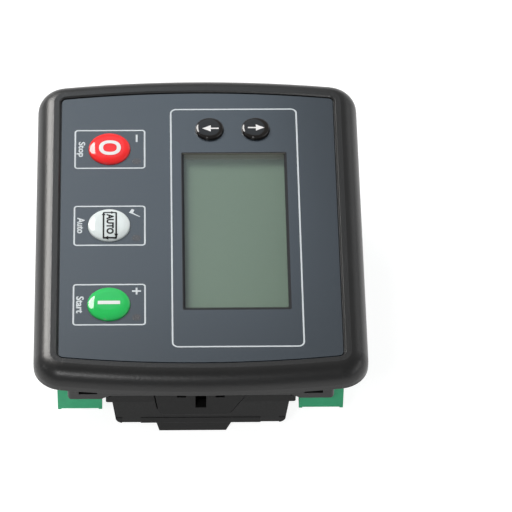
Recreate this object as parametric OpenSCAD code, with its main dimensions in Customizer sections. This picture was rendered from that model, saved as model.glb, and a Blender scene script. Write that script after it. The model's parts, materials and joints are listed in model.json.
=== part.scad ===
// Panel-mounted generator controller lying on its back: rolled front bezel, printed face with five
// push buttons and a display, one circuit board, plug-in terminal rows and a snapped-on rear case.
// X runs along the rows of the display, Y up its face, Z out of the face. Z = 0 is the rear of the hump.

/* [Bezel] */
// Overall length of the bezel, over its two bowed ends
bezel_w = 138; // [130:1:170]
// Overall height of the bezel, over its two straight sides
bezel_h = 110; // [104:1:140]
// Thickness of the bezel from the panel seat to the top of its rim
bezel_t = 7.6; // [6.5:0.1:9]
// Radius of the bowed ends
bow_r = 400; // [250:10:900]
// Outer corner radius seen from the front
corner_r = 10; // [9:0.5:14]
// Width of the rolled rim
rim_w = 7.9; // [7:0.1:8.5]
// Radius of the roll along the outer edge of the rim
roll_r = 6.1; // [3:0.1:6.4]
// Bevel on the inner edge of the rim
lip = 0.45; // [0.2:0.05:0.8]
// How far the rim stands above the printed face
rim_stand = 0.6; // [0.3:0.1:1.2]
// Thickness of the front wall behind the printed face
front_t = 2; // [1.5:0.1:3]

/* [Skirt] */
// Length of the skirt that enters the panel cut-out
skirt_w = 115; // [112:0.5:118]
// Height of the skirt that enters the panel cut-out
skirt_h = 88.2; // [87:0.2:94]
// Thickness of the skirt
skirt_t = 2; // [1.6:0.1:2.4]
// Corner radius of the skirt
skirt_r = 1.2; // [0.8:0.1:4]
// How far the skirt runs back from the panel seat along its long sides
skirt_side = 14.4; // [12.5:0.1:14.9]
// How far the middle of the skirt's ends runs back from the panel seat
skirt_end = 13.7; // [12:0.1:14.3]
// How far the latch tabs run back from the panel seat
tab_run = 15.3; // [15:0.1:17]
// Width of one latch tab
tab_w = 14; // [13:0.1:14.5]
// Run of the slope between a tab and the middle of its end
tab_slope = 2.9; // [1:0.1:3.2]
// Rounding of a tab's lower outer corner
tab_round = 1.3; // [0.6:0.1:2]
// Length of the window in a latch tab
latch_w = 6.2; // [4:0.1:7]
// How far the middle of the window is from the side of the skirt
latch_in = 6.8; // [6.2:0.1:7.4]
// Height of the window in a latch tab
latch_h = 2; // [1.4:0.1:2.6]
// How far the window's lower edge is from the tab's end
latch_up = 2.5; // [2:0.1:3.5]

/* [Face] */
// Thickness of the printed film
film_t = 0.5; // [0.3:0.05:0.8]
// Gap between the film and the rim
film_gap = 0.5; // [0.2:0.05:1]
// Length of the display opening
display_w = 70; // [56:0.5:72]
// Height of the display opening
display_h = 35.1; // [28:0.1:36]
// Place of the display along the face
display_x = 2.5; // [0:0.1:4]
// Place of the display up the face
display_y = 12.1; // [11:0.1:13]
// Thickness of the clear window
window_t = 1; // [0.6:0.1:1.4]
// How far the clear window reaches past the opening
window_lap = 1.5; // [1:0.1:2]

/* [Buttons] */
// Radius of the three mode buttons
mode_r = 7.3; // [6:0.1:8]
// Distance between the mode buttons
mode_pitch = 35; // [32:0.5:37]
// Place of the middle mode button along the face
mode_x = 0.5; // [-2:0.1:2]
// Place of the mode buttons up the face
mode_y = -30.3; // [-32:0.1:-29]
// Radius of the two page buttons
page_r = 5; // [4:0.1:5.5]
// Distance between the page buttons
page_pitch = 15.8; // [14.5:0.1:17]
// Gap between a page button's flange and the display holder
page_gap = 0.5; // [0.4:0.1:2]
// Place of the middle between the page buttons up the face
page_y = 11.9; // [11:0.1:13]
// How far a button stands out of the printed face
button_stand = 1.35; // [0.8:0.05:2]
// Rounding of a button's edge
button_edge = 0.9; // [0.4:0.1:1.1]
// Radius of a button's crowned top
crown_r = 37; // [25:1:160]
// Travel of a button
button_travel = 0.5; // [0.3:0.1:0.8]
// Clearance round a button
button_gap = 0.3; // [0.2:0.05:0.5]
// Width of the flange that keeps a button behind the front wall
flange_w = 1; // [0.8:0.1:1.5]
// Thickness of that flange
flange_t = 1; // [0.7:0.1:1.2]
// Side of a key switch body
switch_w = 6; // [5:0.1:6.4]
// Height of a key switch body
switch_h = 3.5; // [3:0.1:3.8]
// Radius of a key switch plunger
plunger_r = 1.75; // [1.2:0.05:2]

/* [Indicators] */
// Radius of an indicator lamp
led_r = 1.5; // [1.2:0.1:2]
// Height of an indicator lamp, with its dome
led_h = 5.3; // [4:0.1:6]
// Width and height of the collar at the foot of a lamp
led_collar = 0.4; // [0.2:0.1:0.6]
// Place of an indicator from its button along the face
led_x = 5.6; // [5.2:0.1:6]
// Place of an indicator from its button up the face
led_y = 9.2; // [9:0.1:9.8]

/* [Board and display] */
// Depth from the rear case floor's outside to the board
case_d = 26.3; // [25.9:0.1:32]
// Thickness of the board
board_t = 1.6; // [1.2:0.1:2]
// Clearance between the board and the skirt
board_gap = 0.5; // [0.3:0.1:1]
// Space between the board and the front wall
front_space = 6.6; // [6.4:0.1:8]
// Thickness of the backlight
backlight_t = 3.2; // [2.5:0.1:3.4]
// Thickness of the display glass
glass_t = 2.6; // [2:0.1:2.8]
// Border of the glass past the display opening
glass_lap = 2.8; // [2.5:0.1:3.5]
// Wall of the display holder
holder_t = 1.4; // [1:0.1:1.6]
// How far the holder's frame stays clear of the display opening
holder_view = 0.5; // [0.3:0.1:1]
// Clearance between the display holder and what it holds
holder_gap = 0.2; // [0.1:0.05:0.3]
// Radius of a board screw boss
boss_r = 3; // [2.5:0.1:3.2]
// Radius of a board screw shank
screw_r = 1.25; // [1:0.05:1.5]
// Radius of a board screw head
screw_head_r = 2.3; // [2:0.1:2.4]
// Height of a board screw head
screw_head_h = 1.8; // [1.4:0.1:2.2]
// Length of a board screw under its head
screw_l = 6; // [5:0.5:7]
// Clearance of a board screw in its boss
screw_gap = 0.05; // [0.03:0.01:0.1]
// Clearance of a board screw in the board
board_hole_gap = 0.3; // [0.2:0.05:0.5]
// Length of the cross slots in a board screw
cross_l = 3; // [2.4:0.1:3.4]
// Width of the cross slots in a board screw
cross_w = 0.6; // [0.4:0.1:0.8]
// Place of the board screws along the board
screw_x = 50.4; // [49:0.1:50.6]
// Place of the board screws up the board
screw_y = 26.3; // [26:0.1:26.6]

/* [Terminals] */
// Pitch of the terminals
pitch = 5.08; // [5:0.04:5.08]
// Ways in each plug of the lower row
lower_ways = 10; // [6:1:10]
// Ways in each plug of the upper row
upper_ways = 8; // [6:1:10]
// End wall of a header or plug past its outer ways
end_wall = 0.4; // [0.3:0.1:0.6]
// Outer end of both rows along X
row_end = 52.4; // [52:0.1:52.6]
// Inner face of a row from the centre line
row_y = 32.8; // [32.6:0.1:33.2]
// Depth of a header across its row
header_y = 8.6; // [8.2:0.1:8.6]
// Height of a header off the board
header_h = 12; // [11.5:0.1:12.5]
// Wall of a header
header_wall = 1; // [0.8:0.1:1.1]
// Floor of a header, against the board
header_floor = 3; // [2:0.1:3.5]
// Side of a contact pin
pin_w = 1; // [0.8:0.1:1.1]
// Length of a pin from the board towards the plug
pin_l = 11.2; // [10:0.1:11.5]
// Length of a pin past the front of the board
pin_tail = 0.9; // [0.5:0.1:1.2]
// Depth of a plug across its row
plug_y = 14.8; // [13.6:0.1:15.4]
// Length of a plug that shows past its header
plug_l = 10.8; // [9.8:0.1:11.4]
// Clearance between a plug and its header
plug_gap = 0.2; // [0.15:0.05:0.3]
// Width of a foot at the edges of a plug's rear face
plug_foot_w = 1.2; // [0.8:0.1:1.6]
// Depth of the recess between the feet of a plug's rear face
plug_foot = 0.4; // [0.2:0.1:0.6]
// Radius of a wire entry
wire_r = 1.5; // [1.2:0.1:1.6]
// Radius of a clamp screw's head
clamp_head_r = 1.6; // [1.3:0.1:1.7]
// Height of a clamp screw's head
clamp_head_h = 2; // [1.4:0.1:2.4]
// Width of the slot in a clamp screw
clamp_slot = 0.5; // [0.4:0.1:0.8]
// Side of a wire clamp
clamp_w = 3.4; // [3:0.1:3.6]
// Depth of a wire clamp across its row
clamp_y = 4.1; // [3.6:0.1:4.4]

/* [Rear case] */
// Wall of the rear case
case_t = 2; // [1.6:0.1:2.4]
// Height of the rear case where it meets the board
case_h = 63; // [61:0.2:63.2]
// Length of the rear case below the skirt
case_w = 112.4; // [111.6:0.2:113.4]
// Clearance between the rear case and the skirt
case_gap = 0.3; // [0.2:0.05:0.5]
// Seam between the rear case's shoulder and the skirt
seam = 0.4; // [0.2:0.1:0.6]
// How far a barb of the rear case reaches into its latch window
barb = 1.4; // [1:0.1:1.6]
// Height of a barb's blunt edge
barb_t = 0.4; // [0.3:0.1:0.6]
// Height of the shoulder below the seam
shoulder_h = 4.5; // [3.5:0.1:5]
// Rounding of the shoulder's lower side edges
shoulder_round = 0.7; // [0.3:0.1:1.2]
// Step in from the shoulder to the tapered body, on each side
shoulder_step = 2.1; // [1.6:0.1:2.4]
// Taper of each side of the body, over its height
body_taper = 1; // [0.6:0.1:3]
// Rounding of the body's lower edges
body_round = 2.6; // [1.5:0.1:3]
// Draft of each end wall of the body, over its height
end_draft = 0.7; // [0.3:0.1:1]
// Height of the lip round the foot of the end walls
foot_h = 2.6; // [2:0.1:4]
// How far that lip stands out
foot_out = 0.3; // [0.2:0.05:0.5]
// Inner side of a notch in that lip, from the centre line
notch_y = 20; // [18:0.1:21]
// Width of a notch in that lip
notch_w = 6.2; // [4:0.1:7]
// Depth of the hump behind the floor
hump_d = 4.8; // [3:0.1:6]
// Steep side of the hump at its foot
hump_lo = -14.9; // [-16:0.1:-13]
// Slanted side of the hump at its foot
hump_hi = 10.5; // [10:0.1:13]
// Slope of the hump's steep side, across
hump_lo_in = 1.1; // [1:0.1:2]
// Slope of the hump's slanted side, across
hump_hi_in = 2; // [1.5:0.1:4]
// How far a clip pad stands out of its end wall
pad_out = 0.6; // [0.3:0.05:0.8]
// Lower edge of a clip pad above the floor's outside
pad_up = 5.5; // [4.8:0.1:6.5]
// Lower edge of a clip pad at its upright side
pad_lo = -12.6; // [-14:0.1:-11]
// Lower edge of a clip pad at its slanted side
pad_hi = 9.4; // [8:0.1:11]
// Spread of a clip pad's upright side towards the shoulder
pad_lo_out = 2.6; // [1.5:0.1:3]
// Spread of a clip pad's upright side at its bend
pad_bend_out = 1.6; // [1:0.1:1.6]
// Height of that bend over the pad's lower edge
pad_bend = 2.7; // [2:0.1:4]
// Spread of a clip pad's slanted side towards the shoulder
pad_hi_out = 5.7; // [4:0.1:7]
// Width of the groove round a clip pad
groove_w = 0.5; // [0.3:0.1:0.8]
// Depth of that groove in the end wall, at its foot
groove_d = 0.5; // [0.3:0.1:0.8]
// Width of the middle clip hole
clip_w = 3.6; // [3:0.1:4]
// Height of the middle clip hole
clip_h = 6; // [4.5:0.1:6.4]
// Upper edge of that hole under the shoulder's top
clip_down = 0.8; // [0.6:0.1:1.2]
// Width of a clip slit
slit_w = 3.1; // [2.6:0.1:3.6]
// Distance between the two clip slits
slit_pitch = 12.8; // [12:0.1:13.4]
// Depth of a clip slit from the shoulder's top
slit_h = 1.5; // [1.2:0.1:2]

/* [Components] */
// Length of a relay
relay_w = 15.4; // [12:0.1:16]
// Depth of a relay
relay_l = 19; // [16:0.1:20]
// Height of a relay
relay_h = 14.6; // [11:0.1:15]
// Corner radius of a relay
relay_round = 0.8; // [0.4:0.1:1.5]
// Distance between the relays
relay_pitch = 17.5; // [16.4:0.1:18]
// Place of the relays up the board
relay_y = -15; // [-17:0.1:-13]
// Radius of a capacitor
cap_r = 4; // [3:0.1:5]
// Height of a capacitor
cap_h = 12; // [9:0.5:14]
// Gap between the capacitors
cap_gap = 2; // [1:0.1:4]
// Place of the middle capacitor along the board
cap_x = -34; // [-36:0.5:-30]
// Place of the capacitors up the board
cap_y = 14; // [10:0.5:20]
// Side of the processor
chip_w = 12; // [8:0.5:14]
// Height of the processor
chip_h = 1.4; // [1:0.1:2]
// Place of the processor along the board
chip_x = 14; // [0:1:30]
// Place of the processor up the board
chip_y = 12; // [8:1:18]

/* [Hidden] */
$fn = 64;

// Solids that would only touch are run into each other by this much
lap = 0.5;
// A rounding circle is this much oversize, so that it crosses the flats beside it
crease = 0.02;
// The same where the circle meets another circle
fine_crease = 0.002;
// Steps of round shapes: long bows and crowns, corner rolls, buttons, small bores, drawn arcs
bow_fn = 256;
crown_fn = 720;
corner_fn = 128;
key_fn = 96;
small_fn = 24;
arc_n = 8;

// Heights up the stack, from the rear of the hump
z_floor = hump_d;
z_board = z_floor + case_d;
z_boss = z_board + board_t;
z_front = z_boss + front_space;
z_recess = z_front + front_t;
z_face = z_recess + film_t;
z_rim = z_face + rim_stand;
z_seat = z_rim - bezel_t;
z_tab = z_seat - tab_run;
z_side = z_seat - skirt_side;
z_end = z_seat - skirt_end;
z_latch = z_tab + latch_up;
z_shoulder = z_end - seam;
z_step = z_shoulder - shoulder_h;
z_switch = z_boss + switch_h;
z_flange = z_front - button_gap - flange_t;
z_mouth = z_board - header_h;
z_plug = z_mouth - plug_gap - plug_l;
z_pad = z_floor + pad_up;

// Corner centres of the bezel: each corner arc is tangent to a straight side and to a bowed end
corner_y = bezel_h / 2 - corner_r;
bow_x = bow_r - bezel_w / 2;
corner_x = sqrt(pow(bow_r - corner_r, 2) - pow(corner_y, 2)) - bow_x;
bow_a = asin(corner_y / (bow_r - corner_r));
// Degrees by which a corner roll runs into the sides beside it
corner_lap = 2;

skirt_in_w = skirt_w - 2 * skirt_t;
skirt_in_h = skirt_h - 2 * skirt_t;
tab_y = skirt_h / 2 - tab_w;
latch_y = skirt_h / 2 - latch_in;

// Upper part of the rear case, inside the skirt
neck_w = skirt_in_w - 2 * case_gap;
cavity_w = neck_w - 2 * case_t;
body_y = case_h / 2 - shoulder_step;
foot_y = body_y - body_taper;
ear_y = skirt_in_h / 2 - case_gap;

glass_w = display_w + 2 * glass_lap;
glass_h = display_h + 2 * glass_lap;
holder_w = glass_w + 2 * holder_gap + 2 * holder_t;
holder_h = glass_h + 2 * holder_gap + 2 * holder_t;
page_x = display_x - holder_w / 2 - page_gap - flange_w - page_r;

modes = [for (i = [-1:1]) [mode_x + i * mode_pitch, mode_y]];
pages = [for (i = [-1, 1]) [page_x, page_y + i * page_pitch / 2]];
keys = concat(modes, pages);
key_r = [mode_r, mode_r, mode_r, page_r, page_r];
lamps = [for (p = modes) p + [led_x, led_y]];

// Board screws and their bosses
screws = [for (x = [-screw_x, screw_x], y = [-screw_y, screw_y]) [x, y]];

// One terminal row: [side of the centre line, ways in each of its two plugs]
lower_row = [-1, lower_ways];
upper_row = [1, upper_ways];
pin_y = row_y + header_wall + (header_y - 2 * header_wall) / 2;
clamp_z = z_plug + plug_l / 2;

// Points along an arc from one angle to another
function arc(c, r, a0, a1) =
    [for (i = [0:arc_n]) let (a = a0 + (a1 - a0) * i / arc_n) c + r * [cos(a), sin(a)]];
function row_l(ways) = ways * pitch + 2 * end_wall;
function pole_x(ways, i) = row_end - end_wall - (i + 0.5) * pitch;

// Rectangle with rounded corners
module round_rect(w, h, r) {
    intersection() {
        square([w, h], center = true);
        union() {
            square([w - 2 * r, h], center = true);
            square([w, h - 2 * r], center = true);
            for (x = [-1, 1], y = [-1, 1])
                translate([x * (w / 2 - r), y * (h / 2 - r)]) circle(r + crease);
        }
    }
}

// Outline of the bezel brought in by a distance: straight sides, bowed ends, round corners
module face_outline(inset) {
    intersection() {
        square([2 * bezel_w, bezel_h - 2 * inset], center = true);
        translate([-bow_x, 0]) circle(bow_r - inset, $fn = bow_fn);
        translate([bow_x, 0]) circle(bow_r - inset, $fn = bow_fn);
        union() {
            square([2 * corner_x, bezel_h], center = true);
            square([bezel_w, 2 * corner_y], center = true);
            for (x = [-1, 1], y = [-1, 1])
                translate([x * corner_x, y * corner_y]) circle(corner_r - inset + crease);
        }
    }
}

// Section of the rim: x is the distance in from the outer edge, y the height over the panel seat
module rim_section() {
    difference() {
        intersection() {
            square([rim_w, bezel_t]);
            union() {
                square([rim_w, bezel_t - roll_r]);
                translate([roll_r, 0]) square([rim_w - roll_r, bezel_t]);
                translate([roll_r, bezel_t - roll_r]) circle(roll_r + crease);
            }
        }
        translate([rim_w, bezel_t]) rotate(45) square(lip * sqrt(2), center = true);
    }
}

// Rim section set at a radius, facing out
module rim_at(r) {
    translate([r, 0]) mirror([1, 0]) rim_section();
}

// Rolled rim: two straight sides, two bowed ends and four corners a hair under them
module rim() {
    for (s = [0, 1]) mirror([0, s, 0]) translate([-corner_x, 0, z_seat]) rotate([90, 0, 90])
        linear_extrude(2 * corner_x) rim_at(bezel_h / 2);
    for (s = [0, 1]) mirror([s, 0, 0]) translate([-bow_x, 0, z_seat]) rotate([0, 0, -bow_a])
        rotate_extrude(angle = 2 * bow_a, $fn = bow_fn) rim_at(bow_r);
    for (x = [0, 1], y = [0, 1]) mirror([x, 0, 0]) mirror([0, y, 0])
        translate([corner_x, corner_y, z_seat - crease]) rotate([0, 0, bow_a - corner_lap])
            rotate_extrude(angle = 90 - bow_a + 2 * corner_lap, $fn = corner_fn) rim_at(corner_r - crease);
}

// Wall of the skirt with its lower edge cut: open sides, plain middle of the ends, tabs at the corners
module skirt() {
    difference() {
        translate([0, 0, z_tab]) linear_extrude(z_front + lap - z_tab) difference() {
            round_rect(skirt_w, skirt_h, skirt_r);
            round_rect(skirt_in_w, skirt_in_h, skirt_r / 2);
        }
        translate([-skirt_in_w / 2, -skirt_h, z_tab - 1]) cube([skirt_in_w, 2 * skirt_h, z_side - z_tab + 1]);
        translate([-skirt_w, 0, 0]) rotate([90, 0, 90]) linear_extrude(2 * skirt_w) {
            polygon([[-tab_y - tab_slope, z_tab - 1], [-tab_y - tab_slope, z_tab], [-tab_y, z_end],
                [tab_y, z_end], [tab_y + tab_slope, z_tab], [tab_y + tab_slope, z_tab - 1]]);
            for (s = [-1, 1]) polygon(concat([[s * skirt_h, z_tab - 1]], [[s * skirt_h, z_tab + tab_round]],
                [for (p = arc([skirt_h / 2 - tab_round, z_tab + tab_round], tab_round, 0, -90))
                    [s * p[0], p[1]]],
                [[s * (skirt_h / 2 - tab_round), z_tab - 1]]));
        }
        for (s = [-1, 1]) translate([-skirt_w, s * latch_y - latch_w / 2, z_latch])
            cube([2 * skirt_w, latch_w, latch_h]);
    }
}

// Places its children on the axis of one button, at a height
module at_key(i, z) {
    translate([keys[i][0], keys[i][1], z]) children();
}

module front_bezel() {
    color("#2f2f2f") difference() {
        union() {
            rim();
            translate([0, 0, z_front]) linear_extrude(front_t) face_outline(rim_w - lap);
            skirt();
            difference() {
                for (p = screws) translate([p[0], p[1], z_boss]) cylinder(r = boss_r, h = front_space + lap);
                for (i = [0:4]) at_key(i, z_boss - 1)
                    cylinder(r = key_r[i] + flange_w + button_gap, h = front_space + 1);
            }
        }
        translate([display_x - display_w / 2, display_y - display_h / 2, z_front - 1])
            cube([display_w, display_h, front_t + 2]);
        translate([display_x, display_y, z_recess - window_t / 2])
            cube([display_w + 2 * window_lap, display_h + 2 * window_lap, window_t], center = true);
        for (i = [0:4]) at_key(i, z_front - 1) cylinder(r = key_r[i] + button_gap, h = front_t + 2);
        for (p = lamps) translate([p[0], p[1], z_front - 1]) cylinder(r = led_r, h = front_t + 2);
        for (p = screws) translate([p[0], p[1], z_boss - 1])
            cylinder(r = screw_r + screw_gap, h = screw_l - board_t + 1 + screw_gap);
    }
}

module printed_film() {
    color("#5b646b") difference() {
        translate([0, 0, z_recess]) linear_extrude(film_t) face_outline(rim_w + film_gap);
        translate([display_x - display_w / 2, display_y - display_h / 2, z_recess - 1])
            cube([display_w, display_h, film_t + 2]);
        for (i = [0:4]) at_key(i, z_recess - 1) cylinder(r = key_r[i] + button_gap, h = film_t + 2);
    }
}

module display_window() {
    edge = 2 * window_lap - 2 * holder_gap;
    color("#8fa39a", 0.4) translate([display_x, display_y, z_recess - window_t / 2])
        cube([display_w + edge, display_h + edge, window_t], center = true);
}

module display_glass() {
    color("#7b9083") translate([display_x, display_y, z_boss + backlight_t + glass_t / 2])
        cube([glass_w, glass_h, glass_t], center = true);
}

module backlight() {
    color("#e6e8e2") translate([display_x, display_y, z_boss + backlight_t / 2])
        cube([glass_w, glass_h, backlight_t], center = true);
}

// Frame that stands on the board round the backlight and the glass and laps over the glass edge
module display_holder() {
    inner_h = backlight_t + glass_t;
    color("#d8d8d4") translate([display_x, display_y, z_boss]) difference() {
        linear_extrude(front_space - holder_gap) round_rect(holder_w, holder_h, holder_t);
        translate([0, 0, inner_h / 2])
            cube([glass_w + 2 * holder_gap, glass_h + 2 * holder_gap, inner_h], center = true);
        cube([display_w + 2 * holder_view, display_h + 2 * holder_view, 4 * front_space], center = true);
    }
}

// Push button: boss, keeping flange, round body and crowned top with a rounded edge
module button(i, tint) {
    r = key_r[i];
    h = z_face + button_stand - z_flange;
    // Centre of the rounded edge, which runs on into the side and into the crown
    edge_x = r - button_edge;
    edge_z = h - crown_r + sqrt(pow(crown_r - button_edge, 2) - pow(edge_x, 2));
    color(tint) at_key(i, z_flange) rotate_extrude($fn = key_fn) {
        translate([0, -button_gap]) square([plunger_r, button_gap + flange_t]);
        square([r + flange_w, flange_t]);
        intersection() {
            square([r, h]);
            translate([0, h - crown_r]) circle(crown_r, $fn = crown_fn);
            union() {
                square([r, edge_z]);
                square([edge_x * crown_r / (crown_r - button_edge), h]);
                translate([edge_x, edge_z]) circle(button_edge + fine_crease);
            }
        }
    }
}

// Plunger of a key switch, from inside the switch body up to the button's boss
module plunger(i) {
    z = z_switch - switch_h / 2 + button_travel + button_gap;
    color("#e0ddd2") at_key(i, z) cylinder(r = plunger_r, h = z_flange - button_gap - z);
}

module switch_bodies() {
    color("#26282a") for (p = keys) translate([p[0], p[1], z_boss]) difference() {
        translate([-switch_w / 2, -switch_w / 2, 0]) cube([switch_w, switch_w, switch_h]);
        translate([0, 0, switch_h / 2]) cylinder(r = plunger_r + button_gap, h = switch_h);
    }
}

module indicator_lamps() {
    color("#c8412f") for (p = lamps) translate([p[0], p[1], z_boss]) {
        cylinder(r = led_r + led_collar, h = 2 * led_collar);
        cylinder(r = led_r, h = led_h - led_r);
        translate([0, 0, led_h - led_r]) sphere(led_r);
    }
}

module circuit_board() {
    color("#1f5a3a") difference() {
        translate([0, 0, z_board]) linear_extrude(board_t)
            round_rect(skirt_in_w - 2 * board_gap, skirt_in_h - 2 * board_gap, skirt_r);
        for (p = screws) translate([p[0], p[1], z_board - 1])
            cylinder(r = screw_r + board_hole_gap, h = board_t + 2);
        each_pole() translate([0, pin_y, z_board - 1]) cylinder(r = pin_w, h = board_t + 2, $fn = small_fn);
    }
}

// Pan-head screws that hold the board against its bosses, with a cross slot
module board_screws() {
    color("#b9bcc0") for (p = screws) translate([p[0], p[1], z_board]) difference() {
        union() {
            cylinder(r = screw_r, h = screw_l);
            translate([0, 0, -screw_head_h]) cylinder(r = screw_head_r, h = screw_head_h);
        }
        for (a = [0, 90]) rotate(a) translate([0, 0, -screw_head_h])
            cube([cross_l, cross_w, screw_head_h], center = true);
    }
}

module relays() {
    color("#2c3a58") for (i = [-1.5:1.5]) translate([i * relay_pitch, relay_y, z_board - relay_h])
        linear_extrude(relay_h) round_rect(relay_w, relay_l, relay_round);
}

module capacitors() {
    color("#23272c") for (i = [-1:1]) translate([cap_x + i * (2 * cap_r + cap_gap), cap_y, z_board - cap_h])
        cylinder(r = cap_r, h = cap_h);
}

module processor() {
    color("#1c1d1f") translate([chip_x, chip_y, z_board - chip_h / 2])
        cube([chip_w, chip_w, chip_h], center = true);
}

// Places its children at every pole of both rows, in a row that lies on the +Y side
module each_pole() {
    for (row = [lower_row, upper_row], end = [0, 1], i = [0:row[1] - 1])
        mirror([0, (1 - row[0]) / 2, 0]) mirror([end, 0, 0]) translate([pole_x(row[1], i), 0, 0]) children();
}

// Places its children for one half of one row: near is the +X end
module row_half(row, far) {
    mirror([0, (1 - row[0]) / 2, 0]) mirror([far, 0, 0]) children();
}

// Open-mouthed header that stands on the board, with a square hole for each pin
module header(row, far) {
    l = row_l(row[1]);
    color("#3b9a6d") row_half(row, far) difference() {
        translate([row_end - l, row_y, z_mouth]) cube([l, header_y, header_h]);
        translate([row_end - l + header_wall, row_y + header_wall, z_mouth - 1])
            cube([l - 2 * header_wall, header_y - 2 * header_wall, header_h - header_floor + 1]);
        for (i = [0:row[1] - 1]) translate([pole_x(row[1], i), pin_y, z_board])
            cube([pin_w, pin_w, 3 * header_floor], center = true);
    }
}

module contact_pins() {
    color("#c9c9c2") each_pole() translate([-pin_w / 2, pin_y - pin_w / 2, z_board - pin_l])
        cube([pin_w, pin_w, pin_l + board_t + pin_tail]);
}

// Plug-in terminal block: a tongue in the header, a broad body with wire entries at the rear
// and screw holes on its outer side
module plug(row, far) {
    l = row_l(row[1]);
    body_l = plug_l - plug_foot;
    tongue_gap = header_wall + plug_gap;
    clamp_gap = plug_gap / 2;
    color("#3f9c70") row_half(row, far) difference() {
        union() {
            translate([row_end - l, row_y, z_plug]) rotate([90, 0, 90]) linear_extrude(l) difference() {
                square([plug_y, plug_l]);
                translate([plug_foot_w, -1]) square([plug_y - 2 * plug_foot_w, plug_foot + 1]);
                translate([plug_y - 2 * plug_foot_w, plug_l - plug_foot]) square([plug_foot_w, 2 * plug_foot]);
            }
            translate([row_end - l + tongue_gap, row_y + tongue_gap, z_plug + plug_foot])
                cube([l - 2 * tongue_gap, header_y - 2 * tongue_gap, body_l + header_h - header_floor]);
        }
        for (i = [0:row[1] - 1]) translate([pole_x(row[1], i), pin_y, clamp_z]) {
            cylinder(r = pin_w, h = 3 * header_h, $fn = small_fn);
            translate([0, 0, -plug_l]) cylinder(r = wire_r, h = plug_l);
            cube([clamp_w + 2 * clamp_gap, clamp_y + 2 * clamp_gap, clamp_w + 2 * clamp_gap], center = true);
            rotate([-90, 0, 0]) cylinder(r = clamp_head_r + clamp_gap, h = plug_y);
        }
    }
}

// Rising clamps that the wires go into, one in each pole
module wire_clamps() {
    color("#c4c6c4") each_pole() translate([0, pin_y, clamp_z]) difference() {
        cube([clamp_w, clamp_y, clamp_w], center = true);
        cylinder(r = wire_r - plug_gap, h = 2 * clamp_w, center = true);
    }
}

// Slotted screws of the clamps, sunk in the outer side of the plugs
module clamp_screws() {
    l = row_y + plug_y - clamp_head_h - pin_y - clamp_y / 2;
    color("#b5b8ba") each_pole() translate([0, pin_y + clamp_y / 2, clamp_z]) rotate([-90, 0, 0]) difference() {
        union() {
            cylinder(r = screw_r, h = l);
            translate([0, 0, l - clamp_head_h]) cylinder(r = clamp_head_r, h = clamp_head_h);
        }
        translate([0, 0, l]) cube([3 * clamp_head_r, clamp_slot, clamp_head_h], center = true);
    }
}

// Outline that is the same on both sides of the centre line, from the points of one side
module both_sides(half) {
    polygon(concat(half, [for (i = [len(half) - 1:-1:0]) [-half[i][0], half[i][1]]]));
}

// Outline of the tapered body across X, drawn from the step to the floor
module body_section(inset) {
    side = [foot_y - inset, z_floor + inset];
    both_sides(concat([[body_y - inset, z_step + lap]],
        arc([side[0] - body_round, side[1] + body_round], body_round, 0, -90)));
}

// Block with leaning ends that drafts the end walls of the body
module drafted_ends() {
    rotate([90, 0, 0]) linear_extrude(2 * case_h, center = true) polygon([
        [-case_w / 2, z_shoulder], [-case_w / 2, z_step], [end_draft - case_w / 2, z_floor],
        [case_w / 2 - end_draft, z_floor], [case_w / 2, z_step], [case_w / 2, z_shoulder]]);
}

// Outline of the hump across X
module hump_section(inset) {
    top = z_floor + foot_h;
    polygon([[hump_lo + inset, top], [hump_lo + inset, z_floor], [hump_lo + hump_lo_in + inset, inset],
        [hump_hi - hump_hi_in - inset, inset], [hump_hi - inset, z_floor], [hump_hi - inset, top]]);
}

// Extrudes an outline drawn across X, centred on X = 0
module along_x(l) {
    translate([-l / 2, 0, 0]) rotate([90, 0, 90]) linear_extrude(l) children();
}

// Outline of a clip pad on an end wall, grown by a distance and run on past the shoulder's top
module pad_section(grow) {
    top = z_shoulder + lap;
    polygon([[pad_lo - pad_lo_out - grow, top], [pad_lo - pad_lo_out - grow, z_shoulder],
        [pad_lo - pad_bend_out - grow, z_pad + pad_bend], [pad_lo - grow, z_pad - grow],
        [pad_hi + grow, z_pad - grow], [pad_hi + pad_hi_out + grow, z_shoulder],
        [pad_hi + pad_hi_out + grow, top]]);
}

// Clip pads on both end walls, up to the shoulder's top
module clip_pads() {
    along_x(case_w + 2 * pad_out) intersection() {
        pad_section(0);
        translate([-case_h / 2, 0]) square([case_h, z_shoulder]);
    }
}

// Groove round a clip pad
module pad_groove() {
    translate([case_w / 2 - end_draft - groove_d, 0, 0]) rotate([90, 0, 90]) linear_extrude(case_w) difference() {
        pad_section(groove_w);
        pad_section(0);
    }
}

// Shoulder with round lower edges, cut clear of the latch tabs at its four corners
module shoulder() {
    difference() {
        along_x(case_w) both_sides(concat([[case_h / 2, z_shoulder]],
            arc([case_h / 2 - shoulder_round, z_step + shoulder_round], shoulder_round, 0, -90)));
        for (x = [0, 1], y = [0, 1]) mirror([x, 0, 0]) mirror([0, y, 0])
            translate([neck_w / 2, tab_y - case_gap, z_tab - case_gap]) cube([case_w, case_h, shoulder_h]);
    }
}

// Lip round the foot of the end walls, with a notch on each side of the hump
module foot_lip() {
    difference() {
        intersection() {
            along_x(case_w - 2 * (end_draft - foot_out)) body_section(0);
            translate([-case_w, -case_h, z_floor]) cube([2 * case_w, 2 * case_h, foot_h]);
        }
        for (s = [0, 1]) mirror([0, s, 0]) translate([-case_w, notch_y, z_floor - 1])
            cube([2 * case_w, notch_w, foot_h + 2]);
    }
}

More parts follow.
